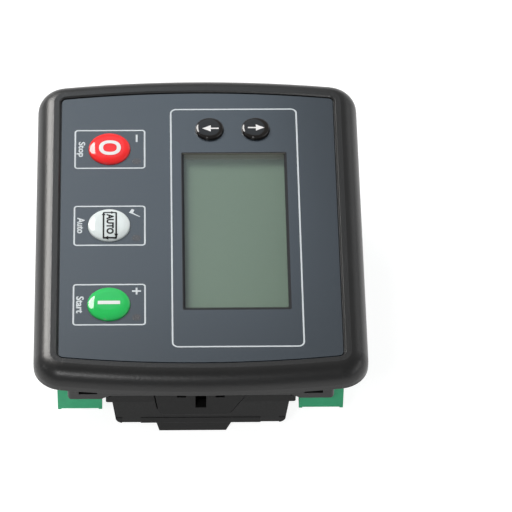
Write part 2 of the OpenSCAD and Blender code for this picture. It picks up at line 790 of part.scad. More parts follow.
// Ear of the rear case behind a latch tab, with a barb in the tab's window
module ear() {
    x = neck_w / 2;
    translate([x - case_t, case_h / 2 - lap, z_end + seam])
        cube([case_t, ear_y - case_h / 2 + lap, z_board - z_end - seam]);
    translate([x, latch_y, z_latch + case_gap]) rotate([90, 0, 0])
        linear_extrude(latch_w - 2 * case_gap, center = true) polygon([[-lap, 0], [barb, 0], [barb, barb_t],
            [0, latch_h - 2 * case_gap], [-lap, latch_h - 2 * case_gap]]);
}

module rear_case() {
    color("#303030") difference() {
        union() {
            translate([-neck_w / 2, -case_h / 2, z_shoulder - lap])
                cube([neck_w, case_h, z_board - z_shoulder + lap]);
            shoulder();
            intersection() {
                along_x(case_w) body_section(0);
                drafted_ends();
            }
            foot_lip();
            along_x(case_w - 2 * end_draft - 2 * foot_out) hump_section(0);
            clip_pads();
            for (x = [0, 1], y = [0, 1]) mirror([x, 0, 0]) mirror([0, y, 0]) ear();
        }
        translate([-cavity_w / 2, case_t - case_h / 2, z_step + case_t])
            cube([cavity_w, case_h - 2 * case_t, z_board - z_step]);
        along_x(cavity_w) body_section(case_t);
        translate([-cavity_w / 2, case_t - body_y, z_step - lap])
            cube([cavity_w, 2 * body_y - 2 * case_t, case_t + 2 * lap]);
        along_x(cavity_w) hump_section(case_t);
        translate([-bezel_w, -clip_w / 2, z_shoulder - clip_down - clip_h]) cube([2 * bezel_w, clip_w, clip_h]);
        for (side = [0, 1]) mirror([side, 0, 0]) {
            pad_groove();
            for (s = [-1, 1]) translate([neck_w / 2, s * slit_pitch / 2 - slit_w / 2, z_shoulder - slit_h])
                cube([case_w, slit_w, slit_h + seam]);
        }
    }
}

front_bezel();
printed_film();
display_window();
display_glass();
backlight();
display_holder();
button(0, "#f0413f");  // stop_button
button(1, "#e2e8e7");  // auto_button
button(2, "#38c067");  // start_button
button(3, "#2a2725");  // page_back_button
button(4, "#2a2725");  // page_next_button
plunger(0);  // stop_plunger
plunger(1);  // auto_plunger
plunger(2);  // start_plunger
plunger(3);  // page_back_plunger
plunger(4);  // page_next_plunger
switch_bodies();
indicator_lamps();
circuit_board();
board_screws();
relays();
capacitors();
processor();
header(lower_row, 0);  // lower_header_near
header(lower_row, 1);  // lower_header_far
header(upper_row, 0);  // upper_header_near
header(upper_row, 1);  // upper_header_far
contact_pins();
plug(lower_row, 0);  // lower_plug_near
plug(lower_row, 1);  // lower_plug_far
plug(upper_row, 0);  // upper_plug_near
plug(upper_row, 1);  // upper_plug_far
wire_clamps();
clamp_screws();
rear_case();
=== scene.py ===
# Genset controller lying on its back: finishes, printed marks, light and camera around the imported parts
import json
import math

import bmesh
import bpy
import numpy as np
from mathutils import Matrix, Vector


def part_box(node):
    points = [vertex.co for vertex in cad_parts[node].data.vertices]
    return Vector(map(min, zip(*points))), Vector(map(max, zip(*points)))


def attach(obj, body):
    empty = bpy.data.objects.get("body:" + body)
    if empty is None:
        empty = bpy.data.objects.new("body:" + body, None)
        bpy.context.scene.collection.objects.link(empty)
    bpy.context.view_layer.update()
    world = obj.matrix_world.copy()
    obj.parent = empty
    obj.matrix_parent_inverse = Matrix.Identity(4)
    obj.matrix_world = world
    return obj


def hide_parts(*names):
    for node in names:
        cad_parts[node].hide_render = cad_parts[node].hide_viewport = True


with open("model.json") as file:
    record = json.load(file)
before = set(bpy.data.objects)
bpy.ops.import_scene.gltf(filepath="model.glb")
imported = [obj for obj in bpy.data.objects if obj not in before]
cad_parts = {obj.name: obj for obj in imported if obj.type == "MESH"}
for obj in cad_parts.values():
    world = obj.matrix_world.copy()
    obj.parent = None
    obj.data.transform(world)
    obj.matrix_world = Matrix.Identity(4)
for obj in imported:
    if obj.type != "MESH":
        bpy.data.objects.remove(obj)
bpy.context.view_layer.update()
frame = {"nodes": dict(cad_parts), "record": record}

# +X is the near end of the controller, +Y the upper side of its printed face, and +Z the way that it faces.
# Sizes of marks and keys are in millimetres, and places in the scene are in metres
MM = 0.001

# Heights that the marks sit on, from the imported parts, in metres
FACE_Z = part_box("printed_film")[1].z
PANE_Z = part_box("display_window")[1].z
CELL_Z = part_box("display_glass")[1].z

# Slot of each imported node's finish
slots = {subpart["node"]: subpart["material_slot"] for subpart in frame["record"]["subparts"]}


# Meshes

# Thickness of a layer of ink, and how far it is sunk into what carries it
INK, INK_SINK = 0.03, 0.01
# Sides of a turned key
KEY_SIDES = 96
# How far the letters' outlines are set out to make them bold, as a share of their size: words on the film,
# and the heavier word on a key
WORD_WEIGHT, KEY_WORD_WEIGHT = 0.028, 0.045
# Straight steps in each curve of a letter
LETTER_STEPS = 4
# Step of the grid at which marks are cut to follow a dome, and how near to a cut a point counts as on it
MARK_STEP, ON_CUT = 0.6, 1e-4


def new_piece(name, points, faces, material, body, smooth=False):
    """Makes a mesh object from points in metres and lists of corner numbers, and lets it ride on a body."""
    mesh = bpy.data.meshes.new(name)
    mesh.from_pydata(points.tolist(), [], faces)
    mesh.validate()
    mesh.polygons.foreach_set("use_smooth", [smooth] * len(mesh.polygons))
    mesh.materials.append(material)
    piece = bpy.data.objects.new(name, mesh)
    bpy.context.scene.collection.objects.link(piece)
    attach(piece, body)
    return piece


def taken_out(mesh):
    """Points of a mesh as an array and its faces as lists of corner numbers. The mesh itself is removed."""
    points = np.empty(len(mesh.vertices) * 3)
    mesh.vertices.foreach_get("co", points)
    faces = [list(polygon.vertices) for polygon in mesh.polygons]
    bpy.data.meshes.remove(mesh)
    return points.reshape(-1, 3), faces


def grid_faces(rows, columns, ring=True):
    """Quads of a grid whose columns close round: column j joins column j + 1, and row i joins row i + 1. In a
    ring the last row joins the first."""
    i, j = np.meshgrid(np.arange(rows if ring else rows - 1), np.arange(columns), indexing="ij")
    here, below, ahead = i * columns, (i + 1) % rows * columns, (j + 1) % columns
    return np.stack([here + j, below + j, below + ahead, here + ahead], axis=-1).reshape(-1, 4).tolist()


def turned_body(profile):
    """A profile turned about the vertical: rows of radius and height, from the middle of the top down to the
    middle of the bottom, swung through even steps of angle, with one point on the axis at either end."""
    j = np.arange(KEY_SIDES)
    angle = j / KEY_SIDES * 2 * math.pi
    radius, height = profile[1:-1].T
    rings = np.stack([radius[:, None] * np.cos(angle), radius[:, None] * np.sin(angle),
                      np.broadcast_to(height[:, None], (len(radius), KEY_SIDES))], axis=-1)
    points = np.concatenate([rings.reshape(-1, 3), [(0, 0, profile[0, 1]), (0, 0, profile[-1, 1])]])
    ahead, last, top = (j + 1) % KEY_SIDES, (len(radius) - 1) * KEY_SIDES, len(points) - 2
    caps = np.concatenate([np.stack([np.full(KEY_SIDES, top), j, ahead], axis=-1),
                           np.stack([np.full(KEY_SIDES, top + 1), last + ahead, last + j], axis=-1)])
    return points, grid_faces(len(radius), KEY_SIDES, ring=False) + caps.tolist()


def box_loop(left, low, right, high):
    """Corners of an upright rectangle, anticlockwise."""
    return [(left, low), (right, low), (right, high), (left, high)]


def rounded_loop(width, height, radius, turn_points=8):
    """Points round a rectangle with round corners: four quarter circles, each about its corner's centre."""
    angle = np.linspace(0, math.pi / 2, turn_points)
    start = np.arange(4)[:, None] * math.pi / 2
    side = np.array([[1, 1], [-1, 1], [-1, -1], [1, -1]])
    centre = side * [width / 2 - radius, height / 2 - radius]
    arc = np.stack([np.cos(start + angle), np.sin(start + angle)], axis=-1)
    return (centre[:, None, :] + radius * arc).reshape(-1, 2)


def oval_loop(width, height, fullness=2, count=64):
    """Points round an oval, at even steps of its angle: the cosine and sine raised to 2 over the fullness, so
    that 2 gives an ellipse and more than 2 fills its corners out."""
    angle = np.arange(count) / count * 2 * math.pi
    turn = np.stack([np.cos(angle), np.sin(angle)], axis=-1)
    return np.sign(turn) * np.abs(turn) ** (2 / fullness) * [width / 2, height / 2]


def inked_line(loop, width):
    """A flat band along a closed loop: a four-cornered section carried along it, square to the mean of the
    two stretches at each point. Gives points and faces, with the surface that it lies on at height 0."""
    ahead = np.roll(loop, -1, axis=0) - loop
    ahead /= np.linalg.norm(ahead, axis=1, keepdims=True)
    along = ahead + np.roll(ahead, 1, axis=0)
    along /= np.linalg.norm(along, axis=1, keepdims=True)
    square = np.stack([along[:, 1], -along[:, 0]], axis=-1)
    across = np.array([-1, -1, 1, 1]) * width / 2
    level = np.array([-INK_SINK, INK, INK, -INK_SINK])
    flat = loop[:, None, :] + square[:, None, :] * across[None, :, None]
    points = np.concatenate([flat, np.broadcast_to(level[None, :, None], flat.shape[:2] + (1,))], axis=-1)
    return points.reshape(-1, 3), grid_faces(len(loop), 4)


def inked_border(inner, outer):
    """A flat band between two loops of as many points: a four-cornered section from the one to the other."""
    section = ((inner, -INK_SINK), (inner, INK), (outer, INK), (outer, -INK_SINK))
    rows = [np.column_stack([loop, np.full(len(loop), level)]) for loop, level in section]
    return np.stack(rows, axis=1).reshape(-1, 3), grid_faces(len(inner), 4)


def inked_patch(outline, low=-INK_SINK, high=INK):
    """A flat patch inside an anticlockwise outline: the outline at two levels, with sides between."""
    outline = np.asarray(outline, float)
    count = len(outline)
    levels = [np.column_stack([outline, np.full(count, level)]) for level in (low, high)]
    i = np.arange(count)
    ahead = (i + 1) % count
    sides = np.stack([i, ahead, ahead + count, i + count], axis=-1).tolist()
    return np.concatenate(levels), sides + [i[::-1].tolist(), (i + count).tolist()]


def word(text, width, height, weight=WORD_WEIGHT):
    """Letters of the plain built-in font as a mesh, fitted to a width and height about its own middle. Their
    depth only tells front from back, and becomes the two levels of the ink."""
    curve = bpy.data.curves.new("letters", "FONT")
    curve.body = text
    curve.extrude = 1.0
    curve.offset = weight
    curve.resolution_u = LETTER_STEPS
    holder = bpy.data.objects.new("letters", curve)
    bpy.context.scene.collection.objects.link(holder)
    shaped = holder.evaluated_get(bpy.context.evaluated_depsgraph_get())
    points, faces = taken_out(bpy.data.meshes.new_from_object(shaped))
    bpy.data.objects.remove(holder)
    bpy.data.curves.remove(curve)
    low, high = points.min(axis=0), points.max(axis=0)
    flat = (points[:, :2] - (low + high)[:2] / 2) * np.array([width, height]) / (high - low)[:2]
    return np.column_stack([flat, np.where(points[:, 2] > 0, INK, -INK_SINK)]), faces


def joined(shapes):
    """Several (points, faces) pairs, each with its own shift along the face, as one pair."""
    points, faces, first = [], [], 0
    for (shape_points, shape_faces), shift in shapes:
        points.append(shape_points + [shift[0], shift[1], 0])
        faces += [[corner + first for corner in face] for face in shape_faces]
        first += len(shape_points)
    return np.concatenate(points), faces


def cut_fine(shape):
    """Cuts a flat mark along a square grid of lines, so that it can follow a dome."""
    points, faces = shape
    mesh = bpy.data.meshes.new("mark")
    mesh.from_pydata(points.tolist(), [], faces)
    fine = bmesh.new()
    fine.from_mesh(mesh)
    for axis, across in enumerate(((1, 0, 0), (0, 1, 0))):
        first = math.ceil(points[:, axis].min() / MARK_STEP) * MARK_STEP
        for level in np.arange(first, points[:, axis].max(), MARK_STEP):
            bmesh.ops.bisect_plane(fine, geom=fine.verts[:] + fine.edges[:] + fine.faces[:], dist=ON_CUT,
                                   plane_co=Vector(across) * level, plane_no=across)
    fine.to_mesh(mesh)
    fine.free()
    return taken_out(mesh)


# Shader nodes

# Size of the slow mottle in a plastic's colour
MOTTLE_MM = 9
# Part of a noise's range that most of its values lie in
NOISE_LOW, NOISE_HIGH = 0.3, 0.7
# Rays that look for the edges which a finish rounds
EDGE_SAMPLES = 6
# Plated metal: its darkest shade as a share of its colour, and how far its roughness goes to either side
PLATED_SHADE, PLATED_SPREAD = 0.82, 0.08
# Sizes of the uneven sheen of the pane, the cloud of tone in the display and the fibres of the floor's paper
SMEAR_MM, CLOUD_MM, FIBRE_MM = 14, 30, 2


def linear(colour):
    """An sRGB hex colour as linear red, green, blue and a full alpha."""
    srgb = np.array([int(colour[i:i + 2], 16) for i in (1, 3, 5)]) / 255
    low, high = srgb / 12.92, ((srgb + 0.055) / 1.055) ** 2.4
    return (*np.where(srgb <= 0.04045, low, high), 1.0)


def add(tree, kind, inputs=None, **settings):
    """Adds one node with its settings, and fills its sockets with values or with links from other sockets."""
    made = tree.nodes.new(kind)
    for name, value in settings.items():
        setattr(made, name, value)
    for name, value in (inputs or {}).items():
        if isinstance(value, bpy.types.NodeSocket):
            tree.links.new(value, made.inputs[name])
        else:
            made.inputs[name].default_value = value
    return made


def start_material(name):
    """An empty material: its tree, a socket with the Object coordinates in metres, and the output node."""
    material = bpy.data.materials.new(name)
    material.use_nodes = True
    tree = material.node_tree
    tree.nodes.clear()
    place = add(tree, "ShaderNodeTexCoord").outputs["Object"]
    output = add(tree, "ShaderNodeOutputMaterial")
    return material, tree, place, output


def moulded(name, colour, roughness, grain_mm, depth_mm, edge_mm=0.0, mottle=0.06, gloss_spread=0.06, ior=1.5,
            specular=0.5, **constants):
    """A moulded plastic, or the ink on one: slow mottle in its colour, grain of a size and depth in its bump
    and roughness, and edges rounded by a small radius. The grain that a tool leaves is about a tenth of a
    millimetre, too fine to show here, so it is drawn as coarse as it needs to show."""
    material, tree, place, output = start_material(name)
    slow = add(tree, "ShaderNodeTexNoise", {"Vector": place, "Scale": 1 / (MOTTLE_MM * MM), "Detail": 3.0})
    base = np.array(linear(colour))
    shades = add(tree, "ShaderNodeValToRGB", {"Fac": slow.outputs["Fac"]})
    ends = ((1 - mottle, NOISE_LOW), (1 + mottle, NOISE_HIGH))
    for stop, (share, position) in zip(shades.color_ramp.elements, ends):
        stop.color = (*np.clip(base[:3] * share, 0, 1), 1.0)
        stop.position = position
    grain = add(tree, "ShaderNodeTexNoise", {"Vector": place, "Scale": 1 / (grain_mm * MM), "Detail": 2.0})
    dull = add(tree, "ShaderNodeMapRange", {
        "Value": grain.outputs["Fac"], "From Min": NOISE_LOW, "From Max": NOISE_HIGH,
        "To Min": roughness - gloss_spread, "To Max": roughness + gloss_spread})
    bump = add(tree, "ShaderNodeBump", {
        "Height": grain.outputs["Fac"], "Strength": 1.0, "Distance": depth_mm * MM})
    if edge_mm:
        edge = add(tree, "ShaderNodeBevel", {"Radius": edge_mm * MM}, samples=EDGE_SAMPLES)
        tree.links.new(edge.outputs["Normal"], bump.inputs["Normal"])
    shader = add(tree, "ShaderNodeBsdfPrincipled", {
        "Base Color": shades.outputs["Color"], "Roughness": dull.outputs["Result"], "IOR": ior,
        "Specular IOR Level": specular, "Normal": bump.outputs["Normal"], **constants})
    tree.links.new(shader.outputs["BSDF"], output.inputs["Surface"])
    return material


def plated(name, colour, roughness, streak_mm):
    """A plated metal part: fine cloudy streaks in its roughness and a slight mottle in its tone."""
    material, tree, place, output = start_material(name)
    cloud = add(tree, "ShaderNodeTexNoise", {"Vector": place, "Scale": 1 / (streak_mm * MM), "Detail": 4.0})
    base = np.array(linear(colour))
    tone = add(tree, "ShaderNodeValToRGB", {"Fac": cloud.outputs["Fac"]})
    for stop, share in zip(tone.color_ramp.elements, (PLATED_SHADE, 1.0)):
        stop.color = (*(base[:3] * share), 1.0)
    dull = add(tree, "ShaderNodeMapRange", {
        "Value": cloud.outputs["Fac"],
        "To Min": roughness - PLATED_SPREAD, "To Max": roughness + PLATED_SPREAD})
    shader = add(tree, "ShaderNodeBsdfPrincipled", {
        "Base Color": tone.outputs["Color"], "Metallic": 1.0, "Roughness": dull.outputs["Result"]})
    tree.links.new(shader.outputs["BSDF"], output.inputs["Surface"])
    return material


def clear_pane():
    """Clear acrylic with an anti-glare front: straight through for what lies behind, with a soft sheen over
    it that is a little uneven, and open to the lamps."""
    material, tree, place, output = start_material("anti_glare_acrylic_pane")
    smear = add(tree, "ShaderNodeTexNoise", {"Vector": place, "Scale": 1 / (SMEAR_MM * MM), "Detail": 3.0})
    dull = add(tree, "ShaderNodeMapRange", {"Value": smear.outputs["Fac"], "To Min": 0.01, "To Max": 0.04})
    shader = add(tree, "ShaderNodeBsdfPrincipled", {
        "Base Color": linear("#f4f8f5"), "Roughness": dull.outputs["Result"], "IOR": 1.03,
        "Transmission Weight": 1.0, "Coat Weight": 1.0, "Coat Roughness": 0.3, "Coat IOR": 1.4})
    through = add(tree, "ShaderNodeBsdfTransparent", {"Color": linear("#eef3ef")})
    ray = add(tree, "ShaderNodeLightPath")
    lit = add(tree, "ShaderNodeMath", {0: ray.outputs["Is Shadow Ray"], 1: ray.outputs["Is Diffuse Ray"]},
              operation="MAXIMUM")
    mix = add(tree, "ShaderNodeMixShader", {"Fac": lit.outputs[0]})
    tree.links.new(shader.outputs["BSDF"], mix.inputs[1])
    tree.links.new(through.outputs["BSDF"], mix.inputs[2])
    tree.links.new(mix.outputs["Shader"], output.inputs["Surface"])
    return material


def display_cell():
    """Glass of a blank reflective display: grey-green and dull, with a slow cloud of tone."""
    material, tree, place, output = start_material("display_cell_glass")
    cloud = add(tree, "ShaderNodeTexNoise", {"Vector": place, "Scale": 1 / (CLOUD_MM * MM), "Detail": 2.0})
    tone = add(tree, "ShaderNodeValToRGB", {"Fac": cloud.outputs["Fac"]})
    tone.color_ramp.elements[0].color = linear("#69786b")
    tone.color_ramp.elements[1].color = linear("#6d7d6f")
    shader = add(tree, "ShaderNodeBsdfPrincipled", {
        "Base Color": tone.outputs["Color"], "Roughness": 0.7, "Specular IOR Level": 0.1})
    tree.links.new(shader.outputs["BSDF"], output.inputs["Surface"])
    return material


def key_resin(name, colour):
    """Coloured resin of a mode key: polished, with light carried a millimetre or two inside it."""
    return moulded(name, colour, 0.05, 0.8, 0.0003, mottle=0.02, gloss_spread=0.01, specular=0.46, **{
        "Subsurface Weight": 0.6, "Subsurface Radius": (1.0, 1.0, 1.0), "Subsurface Scale": 1.6 * MM})


# Finishes of this controller

finishes = {
    # ABS moulded in a spark-eroded tool: black and satin, with a grain that widens its highlights and breaks
    # them up
    "bezel_black": moulded("black_grained_abs", "#202020", 0.34, 0.8, 0.04, edge_mm=0.12, gloss_spread=0.02,
                           specular=0.42),
    # The same plastic from a smoother tool: a flat black that hardly mirrors the lamps
    "case_black": moulded("black_case_abs", "#181818", 0.45, 0.6, 0.01, edge_mm=0.25, specular=0.18),
    # Polycarbonate film printed slate grey on its back: its velvet front and the ink behind both reflect, so
    # that it has twice the sheen of bare plastic
    "film_slate": moulded("slate_polycarbonate_film", "#222c35", 0.24, 0.3, 0.0006, mottle=0.02,
                          gloss_spread=0.03, ior=1.58, specular=1.0),
    # Acrylic pane: it shows all of the display, under a soft sheen with no sharp reflections
    "window_clear": clear_pane(),
    # Display glass: an even grey-green with hardly any gloss of its own
    "display_grey": display_cell(),
    # Acrylic diffuser: milky white and matt
    "backlight_white": moulded("white_diffuser", "#e6e6e2", 0.5, 0.5, 0.005, mottle=0.02),
    # White ABS: a plain pale satin
    "holder_white": moulded("white_holder_abs", "#dcdcd8", 0.5, 0.5, 0.01, mottle=0.02),
    # Domed keys: clear resin over a colour, polished so that the lamps show in it with their outline, and lit
    # a little from within, so that the edges keep their colour
    "key_red": key_resin("red_key_resin", "#f22e2f"),
    "key_white": key_resin("white_key_resin", "#dbe2e1"),
    "key_green": key_resin("green_key_resin", "#2cbf60"),
    # The black resin lets no light in, so that only the polish shows
    "key_black": moulded("black_key_resin", "#1e1b19", 0.05, 0.8, 0.0003, mottle=0.05, gloss_spread=0.01,
                         specular=0.44),
    # Moulded acetal: ivory, with a waxy smoothness
    "plunger_ivory": moulded("ivory_acetal", "#dfdbcc", 0.4, 0.4, 0.005),
    # Nylon switch bodies: near black and dull
    "switch_black": moulded("black_nylon", "#202124", 0.5, 0.3, 0.01),
    # Cast epoxy of the lamps: a dull red tint under a gloss
    "lamp_red": moulded("tinted_epoxy", "#b04a35", 0.15, 0.6, 0.001),
    # Glass-fibre board under solder mask: dark green, with a smooth sheen
    "board_green": moulded("green_solder_mask", "#1d5c3a", 0.3, 0.6, 0.006),
    # Zinc plate on steel: a bright bluish grey with cloudy streaks
    "screw_steel": plated("zinc_plated_steel", "#c3c6ca", 0.3, 1.2),
    # Polyester relay cases: dark blue and satin
    "relay_blue": moulded("blue_relay_case", "#2b3a58", 0.4, 0.5, 0.008),
    # Shrunk sleeve of the capacitors: dark and rather glossy
    "capacitor_sleeve": moulded("dark_shrink_sleeve", "#23272d", 0.25, 0.8, 0.004),
    # Epoxy compound of the processor: black, matt and fine-grained
    "chip_black": moulded("black_moulding_compound", "#1c1d1f", 0.55, 0.2, 0.004),
    # Polyamide terminal blocks: a flat bluish green with a dry surface
    "terminal_green": moulded("green_polyamide", "#37a877", 0.5, 0.5, 0.012, edge_mm=0.2, specular=0.3),
    # Tin plate on the contacts: a pale, slightly cloudy metal
    "contact_tin": plated("tinned_contact", "#cfcfc9", 0.35, 0.8),
}

for node, slot in slots.items():
    materials = frame["nodes"][node].data.materials
    materials.clear()
    materials.append(finishes[slot])

# Screen ink on the film: a flat, slightly grey white
white_ink = moulded("white_screen_ink", "#c8ced1", 0.5, 0.2, 0.002, mottle=0.05)
# Ink on the coloured and black keys: a cleaner white
key_white_ink = moulded("white_key_ink", "#e2e0df", 0.4, 0.2, 0.002, mottle=0.04)
# Ink on the white key: dense black with little gloss
black_ink = moulded("black_screen_ink", "#101011", 0.45, 0.2, 0.002, mottle=0.05, specular=0.25)
# Ink round the display: a matt dark grey
border_ink = moulded("dark_border_ink", "#232426", 0.5, 0.2, 0.002, mottle=0.05, specular=0.2)
# Tinted places in the film over the lamps: faintly brown, with the film's own sheen
lamp_ink = moulded("brown_lamp_ink", "#302b2a", 0.24, 0.3, 0.0015, mottle=0.06, ior=1.58, specular=1.0)
# Painted light for the far wall of the display's opening: a warm grey, far paler than the black wall and slate
# film that it covers, that takes the light as paper does, so that this wall shows lit
far_wall_light_paint = moulded("far_wall_painted_light_grey", "#88857d", 0.6, 0.2, 0.002, mottle=0.05, specular=0.2)


# Domed keys

# How far the top falls from the middle to the rim, and how late it falls
MODE_DOME, PAGE_DOME = (0.84, 5.2), (0.42, 9.0)
KEY_DOMES = {"stop": MODE_DOME, "auto": MODE_DOME, "start": MODE_DOME, "page_back": PAGE_DOME,
             "page_next": PAGE_DOME}
# Width and height of the rounding where the dome turns into the side
RIM_WIDTH, RIM_DROP = 0.3, 0.33
# Rings of points on the top and on the rounding
TOP_RINGS, RIM_RINGS = 28, 10
# Lower part of a key: width and thickness of its flange, and radius and height of the boss under it
FLANGE_WIDTH, FLANGE_THICK, BOSS_RADIUS, BOSS_HIGH = 1.0, 1.0, 1.75, 0.3
# How much the polished dome is smaller all round than the key that it stands for
DOME_TRIM = 0.2


def centre_of(node):
    """Middle of a node seen from the front, in millimetres."""
    low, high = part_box(node)
    return np.array([(low.x + high.x) / 2, (low.y + high.y) / 2]) / MM


def key_radius(node):
    """Radius of a key where it shows, in millimetres."""
    low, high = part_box(node)
    return (high.x - low.x) / 2 / MM - FLANGE_WIDTH - DOME_TRIM


def dome_fall(distance, radius, fall, fullness):
    """How far a dome lies under its middle at a distance from it: the whole fall times the share of the
    radius raised to the fullness, and near the rim a quarter of an ellipse more, which ends square to the
    side."""
    rim = np.clip((distance - radius) / RIM_WIDTH + 1, 0, 1)
    return fall * (distance / radius) ** fullness + RIM_DROP * (1 - np.sqrt(1 - rim ** 2))


def domed_key(key):
    """A key turned to a domed top with a rounded rim, over a side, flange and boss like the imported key's."""
    node = key + "_button"
    low, high = (corner.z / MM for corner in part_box(node))
    radius = key_radius(node)
    inner = np.linspace(0, radius - RIM_WIDTH, TOP_RINGS)
    rim = radius - RIM_WIDTH * (1 - np.sin(np.linspace(0, math.pi / 2, RIM_RINGS)[1:]))
    reach = np.concatenate([inner, rim])
    top = np.column_stack([reach, high - dome_fall(reach, radius, *KEY_DOMES[key])])
    flange, flange_radius = low + BOSS_HIGH, radius + DOME_TRIM + FLANGE_WIDTH
    lower = [(radius, flange + FLANGE_THICK), (flange_radius, flange + FLANGE_THICK), (flange_radius, flange),
             (BOSS_RADIUS, flange), (BOSS_RADIUS, low), (0, low)]
    points, faces = turned_body(np.concatenate([top, lower]))
    placed = (points + [*centre_of(node), 0]) * MM
    piece = new_piece(key + "_dome", placed, faces, finishes[slots[node]], key + "_key",
                      smooth=True)
    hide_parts(node)


for key in KEY_DOMES:
    domed_key(key)


# Printed marks: sizes and middles are measured about the part's own middle, or about a key's

def print_flat(name, shape, material, height):
    """Lays a printed mark on a flat surface of the housing, at a height in metres."""
    points, faces = shape
    new_piece(name, points * MM + [0, 0, height], faces, material, "housing")


def print_on_key(name, shape, key, material):
    """Lays a printed mark on a key's dome, lower by the dome's fall."""
    points, faces = cut_fine(shape)
    node = key + "_button"
    fall = dome_fall(np.hypot(points[:, 0], points[:, 1]), key_radius(node), *KEY_DOMES[key])
    placed = points + np.column_stack([np.broadcast_to(centre_of(node), (len(points), 2)), -fall])
    new_piece(name, placed * MM + [0, 0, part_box(node)[1].z], faces, material, key + "_key")


# Frames, three round the mode keys and a large one round the display and page keys: middle, size and corner
LINE = 0.52
MODE_FRAME, MODE_CORNER = (18.05, 24.2), 0.9
FRAMES = [((x, -30.13), MODE_FRAME, MODE_CORNER) for x in (-34.52, 0.48, 35.5)]
FRAMES.append(((0.45, 12.3), (107.5, 43.7), 1.9))
print_flat("printed_frames", joined([
    (inked_line(rounded_loop(size[0] - LINE, size[1] - LINE, corner), LINE), middle)
    for middle, size, corner in FRAMES]), white_ink, FACE_Z)

# Words under the mode keys: size and middle
WORDS = (("Stop", (7.0, 2.95), (-34.5, -40.03)),
         ("Auto", (7.1, 2.5), (0.32, -39.8)),
         ("Start", (7.3, 2.55), (35.5, -39.82)))
print_flat("printed_words", joined([(word(text, *size), middle) for text, size, middle in WORDS]),
           white_ink, FACE_Z)

# Signs above the mode keys, a minus, a tick and a plus: half the width of a bar, and how far the bars reach
BAR, MINUS_REACH, PLUS_REACH = 0.31, 1.68, 1.5
minus = box_loop(-MINUS_REACH, -BAR, MINUS_REACH, BAR)
tick = [(0.06, -1.74), (0.42, -1.06), (2.03, 1.97), (1.83, 2.08), (0.06, -0.43), (-1.19, 0.13),
        (-1.65, -0.74)]
plus = [(-PLUS_REACH, -BAR), (-BAR, -BAR), (-BAR, -PLUS_REACH), (BAR, -PLUS_REACH), (BAR, -BAR),
        (PLUS_REACH, -BAR), (PLUS_REACH, BAR), (BAR, BAR), (BAR, PLUS_REACH), (-BAR, PLUS_REACH), (-BAR, BAR),
        (-PLUS_REACH, BAR)]
SIGNS = ((minus, (-39.58, -21.0)), (tick, (-5.4, -21.9)), (plus, (29.65, -21.1)))
print_flat("printed_signs", joined([(inked_patch(outline), middle) for outline, middle in SIGNS]),
           white_ink, FACE_Z)

# Ring on the stop key, a little off its middle as it is printed: size, fullness, line and shift
RING, RING_FULLNESS, RING_LINE, RING_SHIFT = (5.4, 6.05), 2.3, 1.38, (0.4, 0.18)
stop_ring = inked_line(oval_loop(*RING, RING_FULLNESS), RING_LINE)
print_on_key("stop_sign", joined([(stop_ring, RING_SHIFT)]), "stop", key_white_ink)

# Sign on the auto key: a word in a box whose four sides carry arrowheads that run round it
BOX, BOX_LINE, BOX_CORNER = (11.1, 4.25), 0.56, 0.15
BOX_MIDDLE = np.array([0.65, 0.28])
BOX_WORD, BOX_WORD_MIDDLE = (9.0, 2.5), (0.3, 0.38)
HEAD = np.array([(-0.6, -0.68), (0.75, 0.0), (-0.6, 0.68)])
# Points in each corner of a small rectangle
SMALL_TURN = 3
# Each head, turned to its way, with its place on the box
HEADS = ((-HEAD, (-4.9, -BOX[1] / 2)),
         (HEAD[:, ::-1] * [-1, 1], (-BOX[0] / 2, 1.0)),
         (HEAD, (4.6, BOX[1] / 2)),
         (HEAD[:, ::-1] * [1, -1], (BOX[0] / 2, -1.1)))
auto_box = [(inked_line(rounded_loop(*BOX, BOX_CORNER, SMALL_TURN), BOX_LINE), BOX_MIDDLE),
            (word("AUTO", *BOX_WORD, KEY_WORD_WEIGHT), BOX_WORD_MIDDLE)]
auto_box += [(inked_patch(head), BOX_MIDDLE + place) for head, place in HEADS]
print_on_key("auto_sign", joined(auto_box), "auto", black_ink)

# Bar on the start key
START_BAR = box_loop(-0.53, -3.6, 0.93, 3.77)
print_on_key("start_sign", inked_patch(START_BAR), "start", key_white_ink)

# Arrows on the page keys: a shaft, given by half its width, and a head, one turned round for the other, with
# the shift of each
SHAFT, SHAFT_END, HEAD_FOOT, HEAD_REACH, HEAD_TIP = 0.28, -2.8, -0.05, 1.45, 2.85
ARROW = np.array([(-SHAFT, SHAFT_END), (SHAFT, SHAFT_END), (SHAFT, HEAD_FOOT), (HEAD_REACH, HEAD_FOOT),
                  (0, HEAD_TIP), (-HEAD_REACH, HEAD_FOOT), (-SHAFT, HEAD_FOOT)])
for key, outline, shift in (("page_next", ARROW, (0.28, 0.12)), ("page_back", -ARROW, (0.55, 0.35))):
    print_on_key(key + "_sign", joined([(inked_patch(outline), shift)]), key, key_white_ink)

# Spots where the indicator lamps shine through the film
SPOT, SPOT_POINTS, SPOT_MIDDLES = 3.0, 32, ((-28.9, -21.1), (6.1, -21.1), (41.1, -21.1))
lamp_spot = inked_patch(oval_loop(SPOT, SPOT, count=SPOT_POINTS))
print_flat("lamp_spots", joined([(lamp_spot, middle) for middle in SPOT_MIDDLES]), lamp_ink, FACE_Z)

